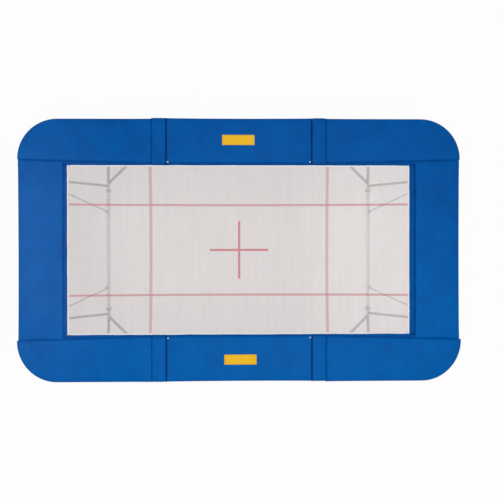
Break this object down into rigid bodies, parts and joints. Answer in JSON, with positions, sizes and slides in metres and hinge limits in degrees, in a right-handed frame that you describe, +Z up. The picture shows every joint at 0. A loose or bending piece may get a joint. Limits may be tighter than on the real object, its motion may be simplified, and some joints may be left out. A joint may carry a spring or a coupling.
{
  "type": "folding trampoline",
  "caption": "Rectangular folding trampoline: woven bed hung on springs inside a padded steel frame, ends that fold over the middle and folding legs with braces.",
  "frame": {"origin": "on the floor under the middle of the bed", "axes": "+X along the length to the right end, +Y across to the back long side, +Z up"},
  "size_m": [5.2498, 3.126, 1.18],
  "materials": {
    "frame_zinc": "galvanised, satin",
    "hinge_steel": "zinc plated, satin",
    "spring_steel": "zinc plated wire",
    "ring_steel": "zinc plated wire",
    "bed_nylon": "woven, slightly see-through",
    "pad_vinyl": "coated fabric, satin",
    "cover_vinyl": "coated fabric, satin",
    "foot_rubber": "matt"
  },
  "bodies": {
    "centre_frame": {"side_rail_front": "frame_zinc", "side_rail_back": "frame_zinc", "hinge_forks": "hinge_steel", "hinge_pins": "hinge_steel", "leg_brackets": "hinge_steel", "leg_bolts": "frame_zinc", "spring_pins_middle": "frame_zinc", "springs_middle_front": "spring_steel", "springs_middle_back": "spring_steel", "bed_middle": "bed_nylon", "bed_rings_middle": "ring_steel", "pad_front": "pad_vinyl", "pad_back": "pad_vinyl", "fold_cover_left_front": "cover_vinyl", "fold_cover_left_back": "cover_vinyl", "fold_cover_right_front": "cover_vinyl", "fold_cover_right_back": "cover_vinyl"},
    "end_frame_left": {"end_rail_left": "frame_zinc", "hinge_tongues_left": "hinge_steel", "spring_pins_left": "frame_zinc", "springs_left_front": "spring_steel", "springs_left_back": "spring_steel", "springs_left_end": "spring_steel", "bed_left": "bed_nylon", "bed_rings_left": "ring_steel", "pad_left_end": "pad_vinyl", "pad_left_corner_front": "pad_vinyl", "pad_left_corner_back": "pad_vinyl", "brace_brackets_left": "hinge_steel", "brace_bolts_left": "frame_zinc"},
    "leg_left": {"floor_bar_left": "frame_zinc", "leg_inner_arms_left": "frame_zinc", "leg_outer_arms_left": "frame_zinc", "leg_cups_left": "frame_zinc", "feet_left": "foot_rubber"},
    "end_frame_right": {"end_rail_right": "frame_zinc", "hinge_tongues_right": "hinge_steel", "spring_pins_right": "frame_zinc", "springs_right_front": "spring_steel", "springs_right_back": "spring_steel", "springs_right_end": "spring_steel", "bed_right": "bed_nylon", "bed_rings_right": "ring_steel", "pad_right_end": "pad_vinyl", "pad_right_corner_front": "pad_vinyl", "pad_right_corner_back": "pad_vinyl", "brace_brackets_right": "hinge_steel", "brace_bolts_right": "frame_zinc"},
    "leg_right": {"floor_bar_right": "frame_zinc", "leg_inner_arms_right": "frame_zinc", "leg_outer_arms_right": "frame_zinc", "leg_cups_right": "frame_zinc", "feet_right": "foot_rubber"},
    "brace_left_front": {"brace_left_front": "frame_zinc"},
    "brace_left_back": {"brace_left_back": "frame_zinc"},
    "brace_right_front": {"brace_right_front": "frame_zinc"},
    "brace_right_back": {"brace_right_back": "frame_zinc"}
  },
  "joints": [
    {"name": "fold_left", "type": "hinge", "parent": "centre_frame", "child": "end_frame_left", "pos_m": [-0.957, 0, 1.161], "axis": [0, 1, 0], "range_deg": [0, 180], "deforming": ["fold_cover_left_front", "fold_cover_left_back"]},
    {"name": "fold_right", "type": "hinge", "parent": "centre_frame", "child": "end_frame_right", "pos_m": [0.957, 0, 1.161], "axis": [0, -1, 0], "range_deg": [0, 150], "deforming": ["fold_cover_right_front", "fold_cover_right_back"]},
    {"name": "leg_fold_left", "type": "hinge", "parent": "centre_frame", "child": "leg_left", "pos_m": [-0.915, 0, 1.048], "axis": [0, -1, 0], "range_deg": [0, 128]},
    {"name": "leg_fold_right", "type": "hinge", "parent": "centre_frame", "child": "leg_right", "pos_m": [0.915, 0, 1.048], "axis": [0, 1, 0], "range_deg": [0, 108]},
    {"name": "brace_swing_left_front", "type": "hinge", "parent": "end_frame_left", "child": "brace_left_front", "pos_m": [-2.51, -0.864, 1.05], "axis": [0, -1, 0], "range_deg": [0, 52]},
    {"name": "brace_swing_left_back", "type": "hinge", "parent": "end_frame_left", "child": "brace_left_back", "pos_m": [-2.51, 0.864, 1.05], "axis": [0, -1, 0], "range_deg": [0, 52]},
    {"name": "brace_swing_right_front", "type": "hinge", "parent": "end_frame_right", "child": "brace_right_front", "pos_m": [2.51, -0.864, 1.05], "axis": [0, 1, 0], "range_deg": [0, 52]},
    {"name": "brace_swing_right_back", "type": "hinge", "parent": "end_frame_right", "child": "brace_right_back", "pos_m": [2.51, 0.864, 1.05], "axis": [0, 1, 0], "range_deg": [0, 52]}
  ]
}
